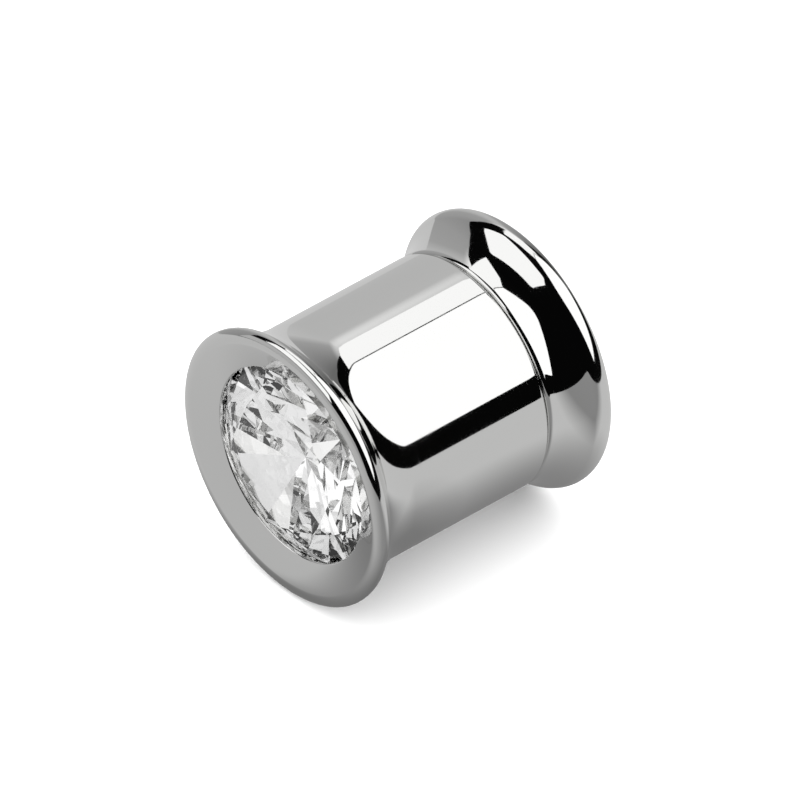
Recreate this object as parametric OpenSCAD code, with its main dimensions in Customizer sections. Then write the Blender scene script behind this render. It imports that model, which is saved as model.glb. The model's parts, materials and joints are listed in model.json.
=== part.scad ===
// Ear tunnel: a double-flared tube for a stretched ear lobe. A round brilliant stone is set in the
// front flare, and the rear flare screws out so that the tube can go through the lobe.
// The tube lies along Y with the stone facing -Y, and the origin is the middle of the ear's seat.
// Every profile is drawn as [distance from the axis, distance towards the front] and turned.

/* [Barrel] */
// Outer diameter of the tube, the size of the stretched hole
barrel_d = 8; // [5:0.1:14]
// Length of the straight tube that the lobe lies on
seat_l = 5.3; // [4:0.1:12]
// Rounding of the tube's rear edge
end_round = 0.15; // [0.05:0.01:0.3]
// Slope cut at the mouth of the tube's bore
mouth_cut = 0.15; // [0.05:0.01:0.25]

/* [Flares] */
// How far both flares stand out beyond the tube
flare_rise = 0.7; // [0.4:0.05:1.2]
// Radius of the hollow curve from the tube up to the front rim
front_root_r = 2.4; // [0.8:0.05:3.5]
// Radius of the front rim's round edge
front_rim_r = 0.25; // [0.15:0.01:0.4]
// Radius of the hollow curve from the seam up to the rear rim
rear_root_r = 1.7; // [0.8:0.05:2.5]
// Radius of the rear rim's round edge
rear_rim_r = 0.45; // [0.3:0.01:0.7]
// Rounding of the rear flare's shoulder at the seam
shoulder_round = 0.17; // [0.05:0.01:0.3]
// Slope of the dished front face, in degrees from flat
front_dish = 22; // [12:1:30]
// Slope of the dished rear face, in degrees from flat
rear_dish = 25; // [12:1:35]

/* [Screw] */
// Closed seam between the tube's end and the rear flare
seam_gap = 0.03; // [0.03:0.01:0.1]
// Length of the screw stub that stands out of the rear flare
stub_l = 2.5; // [2:0.1:4]
// Wall of the screw stub, under the tops of its thread
stub_wall = 0.65; // [0.5:0.05:0.9]
// Running gap between the thread and the tube's bore
thread_gap = 0.05; // [0.03:0.01:0.1]
// Distance from one thread ring to the next
thread_pitch = 0.5; // [0.4:0.05:0.8]
// Depth of the grooves between the thread rings
thread_depth = 0.2; // [0.1:0.01:0.28]
// Plain stretch between the thread and the rear flare's shoulder
thread_relief = 0.3; // [0.2:0.05:0.6]

/* [Stone] */
// Metal left round the stone, measured in from the tube's outer surface
stone_margin = 0.5; // [0.4:0.05:0.8]
// Width of the ledge behind the stone
ledge_w = 0.2; // [0.15:0.01:0.3]
// How far the metal lip reaches over the stone's edge
lip_reach = 0.17; // [0.1:0.01:0.25]
// Thickness of the lip at its tip
lip_t = 0.08; // [0.05:0.01:0.15]
// Slope of the lip's underside
lip_under = 45; // [42:1:50]
// Gap kept between the stone and the metal
stone_gap = 0.04; // [0.03:0.01:0.06]
// Table's corner radius as a share of the stone's radius
table_share = 0.64; // [0.5:0.01:0.72]
// Slope of the eight main facets above the girdle
crown_angle = 30; // [26:0.5:33]
// Slope of the eight main facets below the girdle
pavilion_angle = 41; // [38:0.5:43]
// Height of the girdle
girdle_t = 0.18; // [0.15:0.01:0.3]
// How far the star facets reach from the table's edge to the girdle
star_share = 0.5; // [0.4:0.01:0.6]
// How far the lower halves reach from the girdle to the point
lower_share = 0.77; // [0.65:0.01:0.85]

/* [Hidden] */
$fn = 96;
// Overlap that makes two rounds cross where they would only touch
hair = 0.0001;
steel = [0.78, 0.78, 0.79];
clear = [0.92, 0.95, 0.98];

barrel_r = barrel_d / 2;
flare_r = barrel_r + flare_rise;
stone_r = barrel_r - stone_margin;
pocket_r = stone_r + stone_gap;
bore_r = stone_r - ledge_w;
stub_r = bore_r - thread_gap;
hole_r = stub_r - stub_wall;
lip_r = stone_r - lip_reach;

// Places along the axis, counted forwards from the middle of the seat
seat_front = seat_l / 2;
front_rim = [flare_r - front_rim_r, seat_front + reach(front_root_r, front_rim_r)];
front_root = [barrel_r + front_root_r, seat_front];
barrel_end = -seat_l / 2 - end_round;
shoulder = barrel_end - seam_gap;
// The rear flare is narrowest under the middle of the shoulder's round, which runs on into the root
neck = shoulder_round / 2;
rear_root = [barrel_r + rear_root_r, shoulder - neck];
rear_rim = [flare_r - rear_rim_r, rear_root[1] - reach(rear_root_r, rear_rim_r)];
shoulder_centre = [
    rear_root[0] - sqrt(pow(rear_root_r + shoulder_round, 2) - pow(shoulder_round - neck, 2)),
    shoulder - shoulder_round
];
stub_end = shoulder + stub_l;

// The dished faces run from the rims' rounds in to the lip and in to the rear hole
front_edge = front_rim + front_rim_r * [-sin(front_dish), cos(front_dish)];
lip_top = front_edge[1] - (front_edge[0] - lip_r) * tan(front_dish);
rear_edge = rear_rim - rear_rim_r * [sin(rear_dish), cos(rear_dish)];
hole_edge = rear_edge[1] + (rear_edge[0] - hole_r) * tan(rear_dish);

// The stone's girdle lies just under the lip, and the ledge follows the stone's lower slope
girdle_top = lip_top - lip_t - (pocket_r - lip_r) * tan(lip_under);
ledge_out = girdle_top - girdle_t + stone_gap * (sin(pavilion_angle) - 1) / cos(pavilion_angle);
ledge_in = ledge_out - (pocket_r - bore_r) * tan(pavilion_angle);

thread_rings = floor((stub_l - thread_relief - mouth_cut) / thread_pitch);

mains = 8;
step = 360 / mains;
half = step / 2;
// Girdle points from one main facet's corner to the next half facet's corner
arc = 4;
around = 2 * mains * arc;
table_r = stone_r * table_share;
star_r = table_r * cos(half) * (1 - star_share) + stone_r * star_share;
tip_r = stone_r * (1 - lower_share);

// Distance along the axis between the centres of a root's curve and of the rim's round that meets it
function reach(root, rim) = sqrt(flare_rise * (2 * (root + rim) - flare_rise));

function at(r, a, z) = [r * cos(a), r * sin(a), z];
function turned_round(points) = [for (i = [len(points) - 1:-1:0]) points[i]];

// Height at x, y of the plane through three points
function plane_z(a, b, c, x, y) =
    let (n = cross(b - a, c - a)) a[2] - (n[0] * (x - a[0]) + n[1] * (y - a[1])) / n[2];

// The stone's heights are counted from the top of its girdle at a main facet's corner
function crown_z(r, a) = (stone_r - r * cos(a)) * tan(crown_angle);
function pavilion_z(r, a) = -girdle_t - (stone_r - r * cos(a)) * tan(pavilion_angle);

// Height of girdle point j, on the half facet that it borders: tip is where the two halves meet
function girdle_z(j, tip, z) =
    let (h = floor(j / arc), p = at(stone_r, h * half, z), q = at(stone_r, (h + 1) * half, z),
         top = at(tip[0], (2 * floor(h / 2) + 1) * half, tip[1]), g = at(stone_r, j * half / arc, z))
    plane_z(top, p, q, g[0], g[1]);

module turned() {
    rotate([90, 0, 0]) rotate_extrude() children();
}

module ball(centre, r) {
    translate(centre) circle(r + hair);
}

// Tube, front flare, stone's seat and bore, turned from one bar
module front_barrel() {
    round_in = [barrel_r - end_round, barrel_end + end_round];
    color(steel) turned() {
        difference() {
            polygon([
                [lip_r, lip_top - lip_t], [pocket_r, girdle_top],
                [pocket_r, ledge_out], [bore_r, ledge_in],
                [bore_r, barrel_end + mouth_cut], [bore_r + mouth_cut, barrel_end],
                [round_in[0], barrel_end], round_in, [barrel_r, round_in[1]], [barrel_r, seat_front],
                front_root, front_rim, front_edge, [lip_r, lip_top]
            ]);
            ball(front_root, front_root_r);
        }
        ball(front_rim, front_rim_r);
        ball(round_in, end_round);
    }
}

// Rear flare with its screw stub and the open hole through both
module rear_flare() {
    crest = thread_pitch / 8;
    color(steel) turned() {
        difference() {
            polygon([
                for (i = [0:thread_rings - 1], p = [[crest, 0], [thread_pitch / 2, 1], [thread_pitch - crest, 0]])
                    [stub_r - p[1] * thread_depth, shoulder + thread_relief + i * thread_pitch + p[0]],
                [stub_r, stub_end - mouth_cut], [stub_r - mouth_cut, stub_end],
                [hole_r, stub_end], [hole_r, hole_edge],
                rear_edge, rear_rim, rear_root, shoulder_centre,
                [shoulder_centre[0], shoulder], [stub_r, shoulder]
            ]);
            ball(rear_root, rear_root_r);
        }
        ball(rear_rim, rear_rim_r);
        ball(shoulder_centre, shoulder_round);
    }
}

// Round brilliant: table, eight stars, eight kites and sixteen halves over a scalloped girdle,
// with sixteen halves and eight mains down to the point
module stone() {
    star = [star_r, crown_z(star_r, half)];
    tip = [tip_r, pavilion_z(tip_r, half)];
    points = [
        for (k = [0:mains - 1]) at(table_r, k * step, crown_z(table_r, 0)),
        for (k = [0:mains - 1]) at(star[0], k * step + half, star[1]),
        for (j = [0:around - 1]) at(stone_r, j * half / arc, girdle_z(j, star, 0)),
        for (j = [0:around - 1]) at(stone_r, j * half / arc, girdle_z(j, tip, -girdle_t)),
        for (k = [0:mains - 1]) at(tip[0], k * step + half, tip[1]),
        [0, 0, pavilion_z(0, 0)]
    ];
    stars = mains;
    upper = 2 * mains;
    lower = upper + around;
    tips = lower + around;
    point = tips + mains;
    faces = [
        [for (k = [0:mains - 1]) k],
        for (k = [0:mains - 1]) let (next = (k + 1) % mains, last = (k + mains - 1) % mains,
            main = 2 * k * arc, middle = main + arc)
            each [
                [k, stars + k, next],
                [k, stars + last, upper + main, stars + k],
                [stars + k, for (i = [0:arc]) upper + main + i],
                [stars + k, for (i = [0:arc]) upper + (middle + i) % around],
                [point, tips + k, lower + main, tips + last],
                [tips + k, for (i = [arc:-1:0]) lower + main + i],
                [tips + k, for (i = [arc:-1:0]) lower + (middle + i) % around]
            ],
        for (j = [0:around - 1]) let (next = (j + 1) % around)
            [lower + j, lower + next, upper + next, upper + j]
    ];
    color(clear) rotate([90, 0, 0]) translate([0, 0, girdle_top])
        polyhedron(points, [for (f = faces) turned_round(f)], convexity = 2);
}

front_barrel();
rear_flare();
stone();
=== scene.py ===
# %% [markdown]
# # An ear tunnel of polished steel, with a stone in its front flare
#
# The object is turned from steel bar in two pieces, so nearly everything here is a profile spun round one
# axis. What makes it look real isn't its shape alone: a mirror shows the room that it stands in, so the
# lights are built with as much care as the metal.
#
# The CAD model is the fixed frame that everything is built round.

# %% Load the frame
import json
from math import acos, asin, ceil, cos, degrees, pi, radians, sin, sqrt, tan

import bmesh
import bpy
from mathutils import Matrix, Vector

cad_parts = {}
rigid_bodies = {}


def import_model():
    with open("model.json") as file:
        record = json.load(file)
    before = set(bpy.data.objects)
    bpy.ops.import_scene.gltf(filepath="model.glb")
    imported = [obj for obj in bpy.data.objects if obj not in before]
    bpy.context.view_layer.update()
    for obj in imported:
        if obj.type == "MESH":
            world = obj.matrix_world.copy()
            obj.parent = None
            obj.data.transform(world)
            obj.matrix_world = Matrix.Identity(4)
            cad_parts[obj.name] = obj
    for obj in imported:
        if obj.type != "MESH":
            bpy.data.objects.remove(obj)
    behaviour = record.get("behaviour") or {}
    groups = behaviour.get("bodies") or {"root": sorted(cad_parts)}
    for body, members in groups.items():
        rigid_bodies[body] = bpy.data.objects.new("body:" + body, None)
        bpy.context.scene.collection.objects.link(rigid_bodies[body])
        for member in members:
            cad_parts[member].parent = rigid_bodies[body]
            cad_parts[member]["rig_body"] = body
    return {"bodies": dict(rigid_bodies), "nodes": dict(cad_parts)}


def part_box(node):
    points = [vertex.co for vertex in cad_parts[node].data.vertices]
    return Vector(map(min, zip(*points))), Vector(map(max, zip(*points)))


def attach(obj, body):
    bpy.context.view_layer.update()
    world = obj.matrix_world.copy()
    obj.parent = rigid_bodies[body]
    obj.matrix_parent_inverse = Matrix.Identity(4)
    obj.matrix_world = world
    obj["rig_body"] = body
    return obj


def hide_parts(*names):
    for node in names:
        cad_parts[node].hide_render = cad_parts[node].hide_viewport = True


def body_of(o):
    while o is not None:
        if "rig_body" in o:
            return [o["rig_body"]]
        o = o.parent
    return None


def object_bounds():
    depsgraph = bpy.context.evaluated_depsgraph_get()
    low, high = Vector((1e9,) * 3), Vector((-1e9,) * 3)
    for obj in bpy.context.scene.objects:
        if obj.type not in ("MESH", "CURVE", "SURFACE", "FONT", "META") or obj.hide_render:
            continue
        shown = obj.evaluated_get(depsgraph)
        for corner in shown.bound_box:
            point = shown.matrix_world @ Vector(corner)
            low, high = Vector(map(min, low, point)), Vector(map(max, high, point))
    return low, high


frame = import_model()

cad_low, cad_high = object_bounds()
for body in frame["bodies"]:
    carried = [name for name, part in frame["nodes"].items() if body_of(part) == [body]]
    print("body", body, "carries", carried)

# %% [markdown]
# ## Working in millimetres
#
# Jewellery is measured in millimetres and Blender works in metres. The scene's unit scale could be changed,
# but the CAD model is in metres already, so every size is written in millimetres and multiplied once. The
# tube lies along Y with its stone facing -Y. Each turned piece is drawn as half of its section: the first
# number is the distance from the axis, and the second is the place along Y.

# %% Units
MM = 0.001


def place(radius, along):
    """A point of a half section, in metres: X is the distance from the axis and Y runs along it."""
    return Vector((radius * MM, along * MM, 0))


print("CAD box in mm:", [round(size / MM, 3) for size in cad_high - cad_low])

# %% [markdown]
# ## The lathe's two cuts
#
# A turned profile is a chain of straight cuts and round ones. It could be typed in as a list of points, but
# the round parts would then be facets, and a mirror shows every facet. So the chain starts as a single
# vertex, which is extruded along each straight cut and spun round the centre of each round one.
#
# Straight cuts are made in short lengths too. Blender averages the normals of the faces that meet at a
# vertex, so one long face beside a small round one would carry the curve's first tilt far along the tube.

# %% Straight and round cuts
CUT_LENGTH = 0.25
CUT_ANGLE = 2.5


def cut_to(bm, tip, goal):
    """Extrudes the chain's last vertex along a straight line, in short lengths, and returns the new tip."""
    start = tip.co.copy()
    steps = max(1, ceil((goal - start).length / (CUT_LENGTH * MM)))
    for step in range(1, steps + 1):
        tip = bmesh.ops.extrude_vert_indiv(bm, verts=[tip])["verts"][0]
        tip.co = start.lerp(goal, step / steps)
    return tip


def round_to(bm, tip, centre, turned):
    """Spins the chain's last vertex about a centre, by an angle in degrees, and returns the new tip."""
    spun = bmesh.ops.spin(bm, geom=[tip], cent=centre, axis=(0, 0, 1), dvec=(0, 0, 0), angle=radians(turned),
                          steps=max(2, ceil(abs(turned) / CUT_ANGLE)), use_merge=False, use_duplicate=False)
    return next(part for part in spun["geom_last"] if isinstance(part, bmesh.types.BMVert))


print("a full round is cut in", ceil(360 / CUT_ANGLE), "steps")

# %% [markdown]
# ## From a profile to a solid
#
# When the walk round the section is back at its start, its first and last vertices are merged, and one more
# spin, about the tunnel's own axis, makes the solid. A full spin needs use_merge, or a seam stays open where
# it meets itself. A Screw modifier would turn the profile as well, but a mesh from the operator can be
# measured at once. The faces are shaded smooth, and only true corners stay sharp.

# %% Turn a profile
SPIN_STEPS = 256
SHARP_ANGLE = 20
MERGE_DISTANCE = 0.0005


def turn(name, start, cuts):
    """Turns a closed profile. A cut is ("line", radius, along) or ("arc", radius, along, degrees)."""
    bm = bmesh.new()
    first = tip = bm.verts.new(place(*start))
    for kind, radius, along, *angle in cuts:
        if kind == "line":
            tip = cut_to(bm, tip, place(radius, along))
        else:
            tip = round_to(bm, tip, place(radius, along), *angle)
    miss = (tip.co - first.co).length
    bmesh.ops.remove_doubles(bm, verts=bm.verts[:], dist=MERGE_DISTANCE * MM)
    bmesh.ops.spin(bm, geom=bm.verts[:] + bm.edges[:], cent=(0, 0, 0), axis=(0, 1, 0), dvec=(0, 0, 0),
                   angle=2 * pi, steps=SPIN_STEPS, use_merge=True, use_duplicate=False)
    bmesh.ops.recalc_face_normals(bm, faces=bm.faces[:])
    for face in bm.faces:
        face.smooth = True
    for edge in bm.edges:
        edge.smooth = not edge.is_manifold or edge.calc_face_angle() < radians(SHARP_ANGLE)
    mesh = bpy.data.meshes.new(name)
    open_edges = sum(not edge.is_manifold for edge in bm.edges)
    bm.to_mesh(mesh)
    bm.free()
    piece = bpy.data.objects.new(name, mesh)
    bpy.context.scene.collection.objects.link(piece)
    print(f"{name}: {len(mesh.polygons)} faces, {open_edges} open edges,"
          f" profile closes to {miss / MM:.5f} mm")
    return piece


# %% [markdown]
# ## Checking a piece against the solid that it stands for
#
# A turned piece replaces a CAD node, so it must fill the same place. Looking at both would not show a gap of
# a hundredth of a millimetre, so the boxes and the volumes are compared in numbers.

# %% Compare with the CAD node
def match(piece, node):
    """Prints how far a piece is from the CAD node that it stands for, in size and volume."""
    low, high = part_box(node)
    corners = [Vector(corner) for corner in piece.bound_box]
    size = Vector(max(c[axis] for c in corners) - min(c[axis] for c in corners) for axis in range(3))
    volumes = []
    for mesh in (piece.data, frame["nodes"][node].data):
        bm = bmesh.new()
        bm.from_mesh(mesh)
        volumes.append(bm.calc_volume() / MM ** 3)
        bm.free()
    print(f"{piece.name}: box off by {(size - (high - low)).length / MM:.4f} mm,"
          f" volume {volumes[0]:.2f} mm3 against the node's {volumes[1]:.2f}")


# %% [markdown]
# ## Sizes shared by both pieces
#
# Some sizes are read off the CAD model: the flares' radius, the stone's radius and where the pieces end.
# The others belong to the construction and are repeated here, with the names that a maker would give them.
#
# A flare is a hollow curve (the root) that runs into a round edge (the rim) without a corner. Two circles
# that touch have their centres a known distance apart, so the rim's place follows from the two radii and
# from how far the flare stands out.

# %% Sizes
front_low, front_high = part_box("front_barrel")
rear_low, rear_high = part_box("rear_flare")
stone_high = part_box("stone")[1]

FLARE_R = front_high.x / MM
STONE_R = stone_high.x / MM
FRONT_END = front_low.y / MM
TUBE_END = front_high.y / MM
STUB_END = rear_low.y / MM
REAR_END = rear_high.y / MM
BARREL_R = 4.0
RISE = FLARE_R - BARREL_R


def meeting(root, rim):
    """The angle, in degrees, that a root's curve turns through before it meets its rim."""
    return degrees(acos((root + rim - RISE) / (root + rim)))


def reach(root, rim):
    """How far a rim's centre lies beyond its root's centre, along the axis."""
    return sqrt(RISE * (2 * (root + rim) - RISE))


print(f"flares {2 * FLARE_R:.2f} mm across, tunnel {REAR_END - FRONT_END:.2f} mm long,"
      f" stone {2 * STONE_R:.2f} mm")

# %% [markdown]
# ## The front rim
#
# A thin dark line runs along the front rim in the photo. One even round would show a wide dark band there,
# so the rim has two wide rounds with a crisp edge between them. Two rounds run into each other without a
# corner where their centres lie on one line with the point in which they meet. The centres are worked out
# in that way from the root inwards, and the last round's radius follows from where the tunnel ends.
#
# The CAD model's rim is one even round. Where the straight tube ends and the root begins is worked back
# from that round, so that the two rims stand on the same root.

# %% Front rim
FRONT_ROOT_R = 2.4
FRONT_RIM_R = 0.25
RIM_BACK_R = 0.3
RIM_EDGE_R = 0.08
RIM_EDGE = (52, 80)
FRONT_DISH = 22


def outward(angle):
    """The direction in which the section's edge faces, by its angle in degrees from straight forwards."""
    return Vector((sin(radians(angle)), -cos(radians(angle))))


seat_front = FRONT_END + FRONT_RIM_R + reach(FRONT_ROOT_R, FRONT_RIM_R)
front_meet = meeting(FRONT_ROOT_R, RIM_BACK_R)
edge_from, edge_to = (outward(angle) for angle in RIM_EDGE)
rim_back = Vector((FLARE_R - RIM_BACK_R, seat_front - reach(FRONT_ROOT_R, RIM_BACK_R)))
rim_edge = rim_back + (RIM_BACK_R - RIM_EDGE_R) * edge_to
rim_face_r = (rim_edge.y + RIM_EDGE_R * edge_from.y - FRONT_END) / (1 + edge_from.y)
rim_face = rim_edge - (rim_face_r - RIM_EDGE_R) * edge_from
front_edge = rim_face + rim_face_r * outward(-FRONT_DISH)
print(f"front rim: rounds of {rim_face_r:.3f}, {RIM_EDGE_R} and {RIM_BACK_R} mm")

# %% [markdown]
# ## The stone's seat
#
# The stone lies on a ledge and is held by a thin lip, with a hair of air all round. Its widest line, the
# girdle, is measured on the CAD stone, so that the seat always fits it. The ledge follows the slope of the
# stone's underside. The lip's edge was pressed down on the stone with a burnisher, which rounds it: the
# round touches both the dished face and the lip's inner wall.

# %% Stone's seat
STONE_GAP = 0.04
LEDGE_W = 0.2
LIP_REACH = 0.17
LIP_SLOPE = 45
LIP_ROUND = 0.06
PAVILION_ANGLE = 41
GIRDLE_T = 0.18
TOLERANCE = 0.001

POCKET_R = STONE_R + STONE_GAP
BORE_R = STONE_R - LEDGE_W
LIP_R = STONE_R - LIP_REACH

stone_corners = [vertex.co / MM for vertex in frame["nodes"]["stone"].data.vertices]
girdle_top = min(corner.y for corner in stone_corners if corner.xz.length > STONE_R - TOLERANCE)
lip_under = girdle_top - (POCKET_R - LIP_R) * tan(radians(LIP_SLOPE))
lip_top = front_edge.y + (front_edge.x - LIP_R) * tan(radians(FRONT_DISH))
lip_sink = LIP_ROUND * (1 / cos(radians(FRONT_DISH)) - tan(radians(FRONT_DISH)))
lip_round = (LIP_R + LIP_ROUND, lip_top + lip_sink)

slack = STONE_GAP * (1 - sin(radians(PAVILION_ANGLE))) / cos(radians(PAVILION_ANGLE))
ledge_out = girdle_top + GIRDLE_T + slack
ledge_in = ledge_out + (POCKET_R - BORE_R) * tan(radians(PAVILION_ANGLE))
print(f"stone's seat: lip {lip_under - lip_top:.3f} mm thick at its edge,"
      f" ledge from {ledge_out:.2f} to {ledge_in:.2f} mm")

# %% [markdown]
# ## Front flare and tube
#
# On the real object this is one piece of bar: the dished face with the stone's seat, the rim, the hollow
# root, the straight tube and the bore. It could be joined from tubes and rings, but then the joints would
# show in the mirror. The walk round the section starts on the lip that holds the stone, goes out over the
# face and the rim, back along the tube and home through the bore.

# %% Front flare and tube
END_ROUND = 0.15
MOUTH_CUT = 0.15

seat_rear = TUBE_END - END_ROUND
tube = turn("front_flare_and_tube", (LIP_R, lip_round[1]), [
    ("arc", *lip_round, 90 - FRONT_DISH),
    ("line", *front_edge),
    ("arc", *rim_face, FRONT_DISH + RIM_EDGE[0]),
    ("arc", *rim_edge, RIM_EDGE[1] - RIM_EDGE[0]),
    ("arc", *rim_back, 90 + front_meet - RIM_EDGE[1]),
    ("arc", BARREL_R + FRONT_ROOT_R, seat_front, -front_meet),
    ("line", BARREL_R, seat_rear),
    ("arc", BARREL_R - END_ROUND, seat_rear, 90),
    ("line", BORE_R + MOUTH_CUT, TUBE_END),
    ("line", BORE_R, TUBE_END - MOUTH_CUT),
    ("line", BORE_R, ledge_in),
    ("line", POCKET_R, ledge_out),
    ("line", POCKET_R, girdle_top),
    ("line", LIP_R, lip_under),
    ("line", LIP_R, lip_round[1]),
])
match(tube, "front_barrel")
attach(tube, "front")
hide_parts("front_barrel")

# %% [markdown]
# ## The rear flare's curves
#
# The rear flare is turned in the same way. The fine seam that the photo shows all round is where its
# shoulder meets the tube's end. The shoulder is a small round that runs on into the root, so the flare is
# narrowest just behind the seam, and the root's curve starts with a slight lean.

# %% Rear flare's curves
REAR_ROOT_R = 1.7
REAR_RIM_R = 0.45
REAR_DISH = 25
SHOULDER_ROUND = 0.17
SEAM_GAP = 0.03

shoulder = TUBE_END + SEAM_GAP
neck = shoulder + SHOULDER_ROUND / 2
both_rounds = REAR_ROOT_R + SHOULDER_ROUND
lean = degrees(asin((SHOULDER_ROUND / 2) / both_rounds))
shoulder_round = (BARREL_R + REAR_ROOT_R - both_rounds * cos(radians(lean)), shoulder + SHOULDER_ROUND)
rear_meet = meeting(REAR_ROOT_R, REAR_RIM_R)
rear_rim = (FLARE_R - REAR_RIM_R, neck + reach(REAR_ROOT_R, REAR_RIM_R))
rear_edge = (rear_rim[0] - REAR_RIM_R * sin(radians(REAR_DISH)),
             rear_rim[1] + REAR_RIM_R * cos(radians(REAR_DISH)))
print(f"rear flare: shoulder at {shoulder:.2f} mm, narrowest at {neck:.3f} mm")

# %% [markdown]
# ## The screw stub's thread
#
# The rear flare screws in with a hollow stub. A true helix could be swept round it, but it would no longer
# be a turned shape, and it shows only when the flare is off. So the thread is drawn as rings: a loop adds a
# groove for each turn of the thread, from the stub's end back to the shoulder.

# %% Thread
STUB_WALL = 0.65
THREAD_GAP = 0.05
THREAD_PITCH = 0.5
THREAD_DEPTH = 0.2
THREAD_RELIEF = 0.3

STUB_R = BORE_R - THREAD_GAP
HOLE_R = STUB_R - STUB_WALL
CREST = THREAD_PITCH / 8

rings = int((shoulder - STUB_END - THREAD_RELIEF - MOUTH_CUT) / THREAD_PITCH)
thread = []
for ring in reversed(range(rings)):
    start = shoulder - THREAD_RELIEF - ring * THREAD_PITCH
    thread += [
        ("line", STUB_R, start - THREAD_PITCH + CREST),
        ("line", STUB_R - THREAD_DEPTH, start - THREAD_PITCH / 2),
        ("line", STUB_R, start - CREST),
    ]
print("thread rings:", rings)

# %% [markdown]
# ## Rear flare and stub
#
# The walk starts on the shoulder, goes out over the root and the rim, in over the dished rear face, through
# the open hole to the stub's end and home along the thread. The piece rides on its own body, because this
# is the part that comes off.

# %% Rear flare and stub
hole_edge = rear_edge[1] - (rear_edge[0] - HOLE_R) * tan(radians(REAR_DISH))
rear = turn("rear_flare_and_stub", (shoulder_round[0], shoulder), [
    ("arc", *shoulder_round, 90 - lean),
    ("arc", BARREL_R + REAR_ROOT_R, neck, lean - rear_meet),
    ("arc", *rear_rim, rear_meet + 90 + REAR_DISH),
    ("line", HOLE_R, hole_edge),
    ("line", HOLE_R, STUB_END),
    ("line", STUB_R - MOUTH_CUT, STUB_END),
    ("line", STUB_R, STUB_END + MOUTH_CUT),
    *thread,
    ("line", STUB_R, shoulder),
    ("line", shoulder_round[0], shoulder),
])
match(rear, "rear_flare")
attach(rear, "rear")
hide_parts("rear_flare")

# %% [markdown]
# ## Helpers for materials
#
# A material is a small graph of nodes. One function adds a node, sets its switches and joins its sockets,
# so that each material below reads as a list of what goes into what. Colours are written as the hex values
# that a colour picker shows, and one function turns them into the linear values that Blender works with.

# %% Helpers for materials
def node(tree, kind, inputs=None, **settings):
    """Adds a shader node. Inputs are values, or the output sockets of other nodes."""
    new = tree.nodes.new("ShaderNode" + kind)
    for name, value in settings.items():
        setattr(new, name, value)
    for socket, value in (inputs or {}).items():
        if isinstance(value, bpy.types.NodeSocket):
            tree.links.new(value, new.inputs[socket])
        else:
            new.inputs[socket].default_value = value
    return new


def linear(code):
    """Turns an sRGB hex colour, such as #c8c9cb, into linear red, green, blue and alpha."""
    channels = [int(code[i:i + 2], 16) / 255 for i in (1, 3, 5)]
    return (*(c / 12.92 if c <= 0.04045 else ((c + 0.055) / 1.055) ** 2.4 for c in channels), 1)


def new_material(name):
    """An empty material and its node tree."""
    material = bpy.data.materials.new(name)
    material.use_nodes = True
    material.node_tree.nodes.clear()
    print("material:", name)
    return material, material.node_tree


print("middle grey in linear light:", round(linear("#808080")[0], 3))

# %% [markdown]
# ## Mirror-polished steel: hairlines
#
# Body jewellery is turned from 316L stainless steel and polished on a wheel until it is a mirror. A perfect
# mirror looks like a computer's. The real one keeps faint hairlines that run the way the wheel did, round
# the axis. An anisotropic shader could smear the light along them, but it needs tangents on the mesh, so
# they are noise instead, fine along the axis and stretched across it.

# %% Steel: hairlines
# Turned 316L stainless steel, mirror polished: a slightly warm grey mirror with hairlines round the axis
# Real polishing lines are about 0.005 mm apart, too fine to show, so they are drawn ten times as coarse
HAIRLINE_MM = 0.05
HAIRLINE_STRETCH = 0.06
HAIRLINE_DEPTH_MM = 0.00006
SMOOTHEST = 0.02
ROUGHEST_LINE = 0.06

steel, tree = new_material("mirror_polished_316L_steel")
spot = node(tree, "TexCoord").outputs["Object"]
round_the_axis = node(tree, "Mapping", {"Vector": spot, "Scale": (HAIRLINE_STRETCH, 1, HAIRLINE_STRETCH)})
hairlines = node(tree, "TexNoise", {"Vector": round_the_axis.outputs["Vector"],
                                    "Scale": 1 / (HAIRLINE_MM * MM),
                                    "Detail": 2, "Roughness": 0.6}).outputs["Fac"]
line_roughness = node(tree, "MapRange", {"Value": hairlines, "From Min": 0.35, "From Max": 0.8,
                                         "To Min": SMOOTHEST, "To Max": ROUGHEST_LINE}).outputs["Result"]
waver = node(tree, "Bump", {"Height": hairlines, "Strength": 1.0,
                            "Distance": HAIRLINE_DEPTH_MM * MM}).outputs["Normal"]

# %% [markdown]
# ## Mirror-polished steel: haze and scratches
#
# Steel that has been handled has hazy patches, a few millimetres across, and stray scratches. The scratches
# could be drawn one by one, but the borders of stretched cells give as good a tangle. Only those that lie
# in a hazy patch show, which breaks the cells up.

# %% Steel: haze and scratches
HAZE_MM = 2.5
HAZE_ROUGHNESS = 0.03
SCRATCH_MM = 0.9
SCRATCH_WIDTH = 0.012
SCRATCH_SLANT = (0.5, 0.9, 0.3)
SCRATCH_STRETCH = 0.25

haze = node(tree, "TexNoise", {"Vector": spot, "Scale": 1 / (HAZE_MM * MM), "Detail": 3}).outputs["Fac"]
haze_roughness = node(tree, "MapRange", {"Value": haze, "From Min": 0.4, "From Max": 0.75,
                                         "To Min": 0.0, "To Max": HAZE_ROUGHNESS}).outputs["Result"]
slanted = node(tree, "Mapping", {"Vector": spot, "Rotation": SCRATCH_SLANT,
                                 "Scale": (1, SCRATCH_STRETCH, 1)}).outputs["Vector"]
borders = node(tree, "TexVoronoi", {"Vector": slanted, "Scale": 1 / (SCRATCH_MM * MM)},
               feature="DISTANCE_TO_EDGE").outputs["Distance"]
scratch = node(tree, "Math", {0: borders, 1: SCRATCH_WIDTH}, operation="LESS_THAN").outputs[0]
scratch = node(tree, "Math", {0: scratch, 1: haze_roughness}, operation="MULTIPLY").outputs[0]
print(f"haze in patches of {HAZE_MM} mm, scratches round cells of {SCRATCH_MM} mm")

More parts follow.
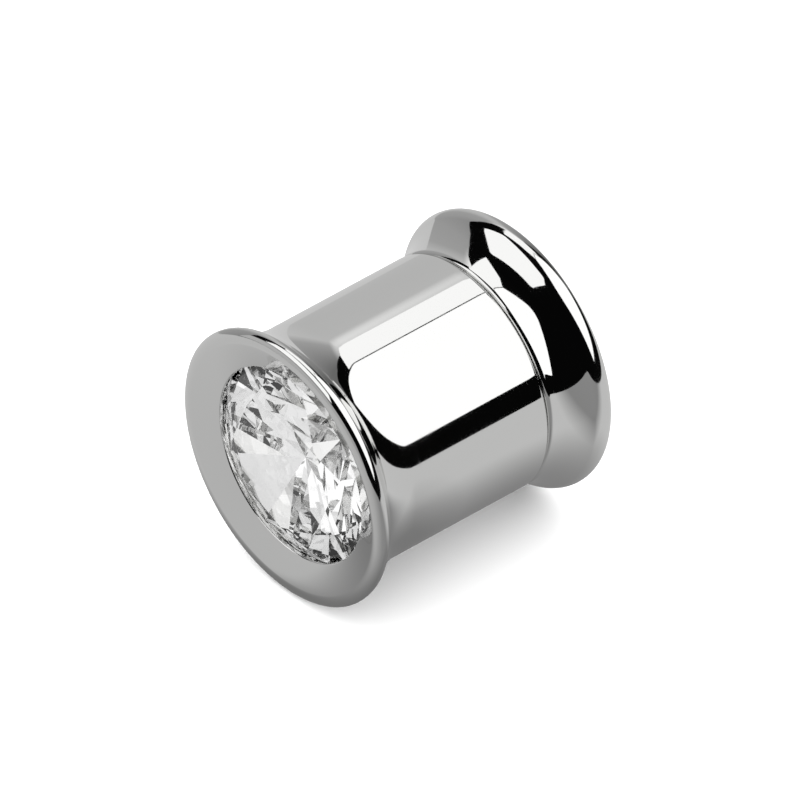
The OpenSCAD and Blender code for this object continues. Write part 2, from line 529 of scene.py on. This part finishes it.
# %% [markdown]
# ## Mirror-polished steel: rubbed rims
#
# The rims are what the tunnel rests on, so their outermost edges have lost some of their polish. A painted
# mask would do, but the distance from the axis says the same thing for both flares at once. All of this
# goes into the roughness. It stays low but is never even, and the hairlines' shallow bump makes the
# reflections waver by a hair.

# %% Steel: rubbed rims
RIM_WEAR_MM = 0.12
RUBBED_ROUGHNESS = 0.08

across = node(tree, "Mapping", {"Vector": spot, "Scale": (1, 0, 1)}).outputs["Vector"]
radius = node(tree, "VectorMath", {0: across}, operation="LENGTH").outputs["Value"]
rubbed = node(tree, "MapRange", {"Value": radius, "From Min": (FLARE_R - RIM_WEAR_MM) * MM,
                                 "From Max": FLARE_R * MM,
                                 "To Min": 0.0, "To Max": RUBBED_ROUGHNESS}).outputs["Result"]
rubbed = node(tree, "Math", {0: rubbed, 1: haze}, operation="MULTIPLY").outputs[0]

roughness = line_roughness
for flaw in (haze_roughness, scratch, rubbed):
    roughness = node(tree, "Math", {0: roughness, 1: flaw}, operation="ADD").outputs[0]
surface = node(tree, "BsdfPrincipled", {"Base Color": linear("#e3e3e2"), "Metallic": 1.0,
                                        "Roughness": roughness, "Normal": waver})
node(tree, "OutputMaterial", {"Surface": surface.outputs[0]})
for piece in (tube, rear):
    piece.data.materials.append(steel)
    print(piece.name, "is finished in", steel.name)

# %% [markdown]
# ## Cubic zirconia
#
# The stone is colourless cubic zirconia, which bends light nearly as strongly as diamond. Its sparkle comes
# from its facets and from nothing else, so the CAD facets stay exactly as they are, with no smoothing and
# no bevels. Glass with a painted sparkle would be quicker to render, but it would look the same from
# everywhere.

# %% Stone
# Cubic zirconia, cut and polished: clear, with hard bright facets that the lap leaves a trace of lines on
# Real lap lines are about 0.002 mm apart, too fine to show, so they are drawn thirty times as coarse
LAP_LINE_MM = 0.06
LAP_SLANT = (0.7, 0.4, 1.1)
LAP_STRETCH = 0.08
LAP_ROUGHNESS = 0.02
ZIRCONIA_IOR = 2.15

stone_glass, tree = new_material("polished_cubic_zirconia")
spot = node(tree, "TexCoord").outputs["Object"]
lapped = node(tree, "Mapping", {"Vector": spot, "Rotation": LAP_SLANT,
                                "Scale": (1, LAP_STRETCH, 1)}).outputs["Vector"]
lap_lines = node(tree, "TexNoise", {"Vector": lapped, "Scale": 1 / (LAP_LINE_MM * MM),
                                    "Detail": 1}).outputs["Fac"]
roughness = node(tree, "MapRange", {"Value": lap_lines, "From Min": 0.55, "From Max": 0.8,
                                    "To Min": 0.0, "To Max": LAP_ROUGHNESS}).outputs["Result"]
surface = node(tree, "BsdfPrincipled", {"Base Color": linear("#ffffff"), "Transmission Weight": 1.0,
                                        "IOR": ZIRCONIA_IOR, "Roughness": roughness})
node(tree, "OutputMaterial", {"Surface": surface.outputs[0]})
stone = frame["nodes"]["stone"]
stone.data.materials.clear()
stone.data.materials.append(stone_glass)
print("stone is finished in", stone_glass.name)

# %% [markdown]
# ## Directions in the room
#
# The photo's room can be read off the steel: each spot of a known curved mirror shows one direction. There
# are three white light panels, a grey card on the left, a grey table, and black in between. Directions are
# given as seen from the tunnel: azimuth 0 is in front of the stone, 90 is on the +X side, and elevation 90
# is overhead.
#
# Whatever stands in the room is part of the stage, and each thing is told which kinds of ray may see it.

# %% Directions and stage
def direction(azimuth, elevation):
    """The unit vector from the tunnel towards a place in the room."""
    turned, raised = radians(azimuth), radians(elevation)
    return Vector((sin(turned) * cos(raised), -cos(turned) * cos(raised), sin(raised)))


def staged(name, mesh, material, **seen_by):
    """Puts a mesh in the room as part of the stage, and says which kinds of ray may see it."""
    mesh.materials.append(material)
    prop = bpy.data.objects.new(name, mesh)
    bpy.context.scene.collection.objects.link(prop)
    for ray, seen in seen_by.items():
        setattr(prop, "visible_" + ray, seen)
    print(f"stage: {name}, {len(mesh.polygons)} faces")
    return prop


print("in front of the stone lies", [round(c, 3) for c in direction(0, 0)])

# %% [markdown]
# ## Light panels
#
# Area lights would be the usual choice, but those are only rectangles and ovals, and the panels in the
# reflections have slanting sides and round corners. So each panel is a glowing polygon whose corners are
# given by their directions. A corner with a third number is rounded by a bevel that starts as many
# millimetres from it.

# %% Light panels
ROOM = 600.0
ROUNDING_STEPS = 8
STRONG_LIGHT = 1.31
WEAK_LIGHT = 1.21


def hang(name, corners, material, distance=ROOM):
    """Hangs a panel that only mirrors and the stone see. A corner is (azimuth, elevation[, rounding])."""
    bm = bmesh.new()
    bm.faces.new([bm.verts.new(direction(*corner[:2]) * distance * MM) for corner in corners])
    bm.verts.ensure_lookup_table()
    rounds = [(vert, corner[2]) for vert, corner in zip(bm.verts, corners) if len(corner) == 3]
    for vert, rounding in rounds:
        bmesh.ops.bevel(bm, geom=[vert], offset=rounding * MM, offset_type="OFFSET", affect="VERTICES",
                        segments=ROUNDING_STEPS, profile=0.5, material=-1)
    bmesh.ops.triangulate(bm, faces=bm.faces[:])
    mesh = bpy.data.meshes.new(name)
    bm.to_mesh(mesh)
    bm.free()
    return staged(name, mesh, material, camera=False, diffuse=False, shadow=False)


def glow(name, colour, strength):
    """A material that shines evenly, such as the cloth front of a light panel."""
    material, tree = new_material(name)
    light = node(tree, "Emission", {"Color": linear(colour), "Strength": strength})
    node(tree, "OutputMaterial", {"Surface": light.outputs[0]})
    return material


strong_cloth = glow("strongly_lit_cloth", "#ffffff", STRONG_LIGHT)
weak_cloth = glow("weakly_lit_cloth", "#ffffff", WEAK_LIGHT)

hang("front_panel", [(-64.5, 53, 40), (12.5, 53.8, 40), (0, 21, 60), (-52, 18, 15)], weak_cloth)
hang("back_panel", [(61, 58.8, 110), (101, 8, 20), (183, 11, 15), (197.3, 57.5, 15), (194, 79)], strong_cloth)
hang("overhead_panel", [(-80, 56), (-105, 79), (-162, 79), (-161.2, 57.5), (-166.8, 44.5, 4), (-131, 42)],
     weak_cloth)

# %% [markdown]
# ## Shades that follow the side
#
# The grey card on the left and the grey table aren't lit evenly, and an even grey would look like paint on
# the steel. The shade of each follows from the side on which a point of it lies. One helper turns a place
# into its azimuth and looks the shade up in a ramp, whose stops are an azimuth and a colour.

# %% Shades by side
def shade_by_side(tree, spot, stops):
    """The colour that a ramp over the azimuth gives to a place."""
    part = node(tree, "SeparateXYZ", {"Vector": spot}).outputs
    backwards = node(tree, "Math", {0: part["Y"], 1: -1.0}, operation="MULTIPLY").outputs[0]
    azimuth = node(tree, "Math", {0: part["X"], 1: backwards}, operation="ARCTAN2").outputs[0]
    first, last = stops[0][0], stops[-1][0]
    along_ramp = node(tree, "MapRange", {"Value": azimuth, "From Min": radians(first),
                                         "From Max": radians(last)}).outputs["Result"]
    ramp = node(tree, "ValToRGB", {"Fac": along_ramp})
    while len(ramp.color_ramp.elements) < len(stops):
        ramp.color_ramp.elements.new(0.5)
    for element, (turned, colour) in zip(ramp.color_ramp.elements, stops):
        element.position = (turned - first) / (last - first)
        element.color = linear(colour)
    print(f"{len(stops)} shades from azimuth {first} to {last}")
    return ramp.outputs["Color"]


# %% [markdown]
# ## Left card
#
# The card stands at half the panels' distance, so it hides the overhead one's lower edge. It could be lit
# by lamps of its own, but the steel would mirror those as well, so it glows by itself. It is brightest
# where it stands under the overhead panel, it shades off towards both sides, and its upper part glares.

# %% Left card
CARD_SHADES = [(-173, "#6c6c6c"), (-160, "#747474"), (-148, "#969696"), (-137, "#acacac"), (-131, "#cacaca"),
               (-121, "#c6c6c6"), (-108, "#adadad"), (-85, "#a8a8a8"), (-60, "#989898")]
CARD_GLARE = 1.9
GLARE_FROM, GLARE_FULL = 36, 46

card_grey, tree = new_material("shaded_grey_card")
spot = node(tree, "TexCoord").outputs["Object"]
towards = node(tree, "VectorMath", {0: spot}, operation="NORMALIZE").outputs["Vector"]
height = node(tree, "SeparateXYZ", {"Vector": towards}).outputs["Z"]
glare = node(tree, "MapRange", {"Value": height, "From Min": sin(radians(GLARE_FROM)),
                                "From Max": sin(radians(GLARE_FULL)), "To Min": 1.0, "To Max": CARD_GLARE},
             interpolation_type="SMOOTHSTEP").outputs["Result"]
light = node(tree, "Emission", {"Color": shade_by_side(tree, spot, CARD_SHADES), "Strength": glare})
node(tree, "OutputMaterial", {"Surface": light.outputs[0]})

hang("left_card", [(-173, 5), (-165, 12), (-162, 26), (-147, 46), (-130, 46), (-107.5, 42), (-87.5, 37),
                   (-72.5, 27.5), (-60, 10), (-55, -10), (-55, -35), (-132, -35), (-170, -20)], card_grey,
     distance=ROOM / 2)

# %% [markdown]
# ## Front strip
#
# Between the table and the front panel the front rim shows a soft grey line, where bare air would leave a
# black band. A wider table couldn't give it, because a level surface never rises above the horizon. So a
# low strip stands behind the table's front edge.

# %% Front strip
# The strip glows by itself like the card, with painted shades by side that darken from azimuth -60 towards 16
STRIP_SHADES = [(-60, "#c0c0c0"), (-30, "#bcbcbc"), (0, "#b2b2b2"), (16, "#a0a0a0")]

strip_grey, tree = new_material("shaded_grey_strip")
spot = node(tree, "TexCoord").outputs["Object"]
light = node(tree, "Emission", {"Color": shade_by_side(tree, spot, STRIP_SHADES), "Strength": 1.0})
node(tree, "OutputMaterial", {"Surface": light.outputs[0]})
hang("front_strip", [(-60, -8), (17, -8), (15, 8), (-3, 10), (-12, 17), (-52, 16), (-60, 10)], strip_grey)

# %% [markdown]
# ## Floor
#
# The tunnel rests on its two rims, so the floor's height is the CAD box's lowest point. The photo's ground
# is white behind the tunnel, while the steel mirrors a grey table. One surface can't be both, so there are
# two: a pale floor that the camera sees, and a grey table top that only mirrors see. The floor lies a hair
# lower, so that the two never share a plane.

# %% Floor
FLOOR_SIZE = 4000.0
FLOOR_DROP = 0.005
DISC_SIDES = 96


def disc(name, radius, height, material, **seen_by):
    """A flat round surface of the stage."""
    bm = bmesh.new()
    bmesh.ops.create_circle(bm, cap_ends=True, radius=radius * MM, segments=DISC_SIDES,
                            matrix=Matrix.Translation((0, 0, height * MM)))
    mesh = bpy.data.meshes.new(name)
    bm.to_mesh(mesh)
    bm.free()
    return staged(name, mesh, material, **seen_by)


ground = cad_low.z / MM
pale_floor, tree = new_material("pale_floor")
surface = node(tree, "BsdfDiffuse", {"Color": linear("#fafafa")})
node(tree, "OutputMaterial", {"Surface": surface.outputs[0]})
disc("floor", FLOOR_SIZE / 2, ground - FLOOR_DROP, pale_floor, glossy=False, transmission=False)

# %% [markdown]
# ## Table top: how dark it is
#
# The table top is darkest under the tunnel, which keeps the light from it. The shade could come from real
# shadows, but the table would then need lights of its own, which the steel would show. So it glows, and its
# strength grows with the distance from the tunnel's middle line. Beyond the two ends the distance is
# stretched, because less of the sky is hidden there.

# %% Table top: strength
SHADE_NEAR = 1.5
SHADE_FAR = 10.0
SHADE_END = 3.6
END_SHADE = 1.6
UNDER_TUNNEL = 0.41
OPEN_TABLE = 1.05

table, tree = new_material("shaded_grey_table")
spot = node(tree, "TexCoord").outputs["Object"]
part = node(tree, "SeparateXYZ", {"Vector": spot}).outputs
along = node(tree, "Math", {0: part["Y"]}, operation="ABSOLUTE").outputs[0]
beyond = node(tree, "MapRange", {"Value": along, "From Min": SHADE_END * MM, "From Max": (SHADE_END + 1) * MM,
                                 "To Max": END_SHADE * MM}, clamp=False).outputs["Result"]
beyond = node(tree, "Math", {0: beyond, 1: 0.0}, operation="MAXIMUM").outputs[0]
away = node(tree, "CombineXYZ", {"X": part["X"], "Y": beyond}).outputs["Vector"]
distance = node(tree, "VectorMath", {0: away}, operation="LENGTH").outputs["Value"]
open_sky = node(tree, "MapRange", {"Value": distance, "From Min": SHADE_NEAR * MM, "From Max": SHADE_FAR * MM,
                                   "To Min": UNDER_TUNNEL, "To Max": OPEN_TABLE},
                interpolation_type="SMOOTHSTEP").outputs["Result"]
print(f"table: {UNDER_TUNNEL} under the tunnel, {OPEN_TABLE} from {SHADE_FAR} mm on")

# %% [markdown]
# ## Table top: its shades
#
# The side without a panel is less bright, so the table has shades by side too. Under the tunnel all sides
# meet in one point and would make a fan, so there the table has one middle shade, and the sides' shades
# come in further out. Only mirrors see the table: for the camera and for plain surfaces it isn't there.

# %% Table top: shades
TABLE_R = 50.0
TABLE_SHADES = [(-180, "#cecece"), (-100, "#cecece"), (-15, "#c0c0c0"), (15, "#b4b4b4"), (45, "#929292"),
                (85, "#8e8e8e"), (110, "#cccccc"), (180, "#cecece")]
MIDDLE_SHADE = "#c4c4c4"
SIDES_FROM = 1.5
SIDES_FULL = 7.0

middle_spot = (0, 0, ground * MM)
from_middle = node(tree, "VectorMath", {0: spot, 1: middle_spot}, operation="DISTANCE").outputs["Value"]
further_out = node(tree, "MapRange", {"Value": from_middle, "From Min": SIDES_FROM * MM,
                                      "From Max": SIDES_FULL * MM}).outputs["Result"]
# A Mix node has a set of sockets for each type of data: 6 and 7 are its two colours, and output 2 is the mix
shade = node(tree, "Mix", {0: further_out, 6: linear(MIDDLE_SHADE),
                           7: shade_by_side(tree, spot, TABLE_SHADES)}, data_type="RGBA").outputs[2]
light = node(tree, "Emission", {"Color": shade, "Strength": open_sky})
node(tree, "OutputMaterial", {"Surface": light.outputs[0]})
disc("mirrored_table", TABLE_R, ground, table,
     camera=False, diffuse=False, transmission=False, shadow=False)

# %% [markdown]
# ## Air
#
# The air lights the scene. It is white for the eye and for plain surfaces, dark for mirrors, which show
# black between the panels, and pale for light that has been through the stone. That light is thrown from
# facet to facet many times before it comes out, and Blender gives up after four reflections, which would
# leave black facets, so it is allowed more.

# %% Air
WHITE_AIR = 2.0
DARK_AIR = 0.002
PALE_AIR = 0.85

world = bpy.data.worlds.new("studio")
bpy.context.scene.world = world
world.use_nodes = True
tree = world.node_tree
tree.nodes.clear()
white_air, dark_air, pale_air = (
    node(tree, "Background", {"Color": linear("#ffffff"), "Strength": strength}).outputs[0]
    for strength in (WHITE_AIR, DARK_AIR, PALE_AIR))
rays = node(tree, "LightPath").outputs
for_mirrors = node(tree, "MixShader", {0: rays["Is Glossy Ray"], 1: white_air, 2: dark_air}).outputs[0]
depth = rays["Transmission Depth"]
through_stone = node(tree, "Math", {0: depth, 1: 0.5}, operation="GREATER_THAN").outputs[0]
air = node(tree, "MixShader", {0: through_stone, 1: for_mirrors, 2: pale_air}).outputs[0]
node(tree, "OutputWorld", {"Surface": air})

scene = bpy.context.scene
scene.view_settings.view_transform = "Standard"
scene.cycles.glossy_bounces = 12
scene.cycles.max_bounces = 16
print("bounces allowed:", scene.cycles.glossy_bounces, "off mirrors,", scene.cycles.max_bounces, "in all")

# %% [markdown]
# ## The camera
#
# The photo was taken from far away with a long lens: the tube's two sides stay nearly parallel in it. An
# orthographic camera would keep them wholly parallel, so this is a long lens too. The camera looks straight
# along its direction and is moved sideways by a fraction of a millimetre, so that the tunnel sits in the
# frame as it does in the photo.

# %% Camera
CAMERA_AT = (49.06, 38.71)
DISTANCE = 1027.4
LENS = 1500.0
SENSOR = 36
SIDESTEP = (0.029, 0.195)

towards_camera = direction(*CAMERA_AT)
right = Vector((0, 0, 1)).cross(towards_camera).normalized()
up = towards_camera.cross(right)
middle = Vector((0, (FRONT_END + REAR_END) / 2, 0))

camera = bpy.data.objects.new("camera", bpy.data.cameras.new("camera"))
scene.collection.objects.link(camera)
camera.data.lens = LENS
camera.data.sensor_width = SENSOR
camera.data.clip_start = 0.01
camera.data.clip_end = 100
camera.location = (middle + right * SIDESTEP[0] + up * SIDESTEP[1] + towards_camera * DISTANCE) * MM
camera.rotation_euler = Matrix((right, up, towards_camera)).transposed().to_euler()
bpy.context.scene.camera = camera
print("camera at", [round(c, 4) for c in camera.location])
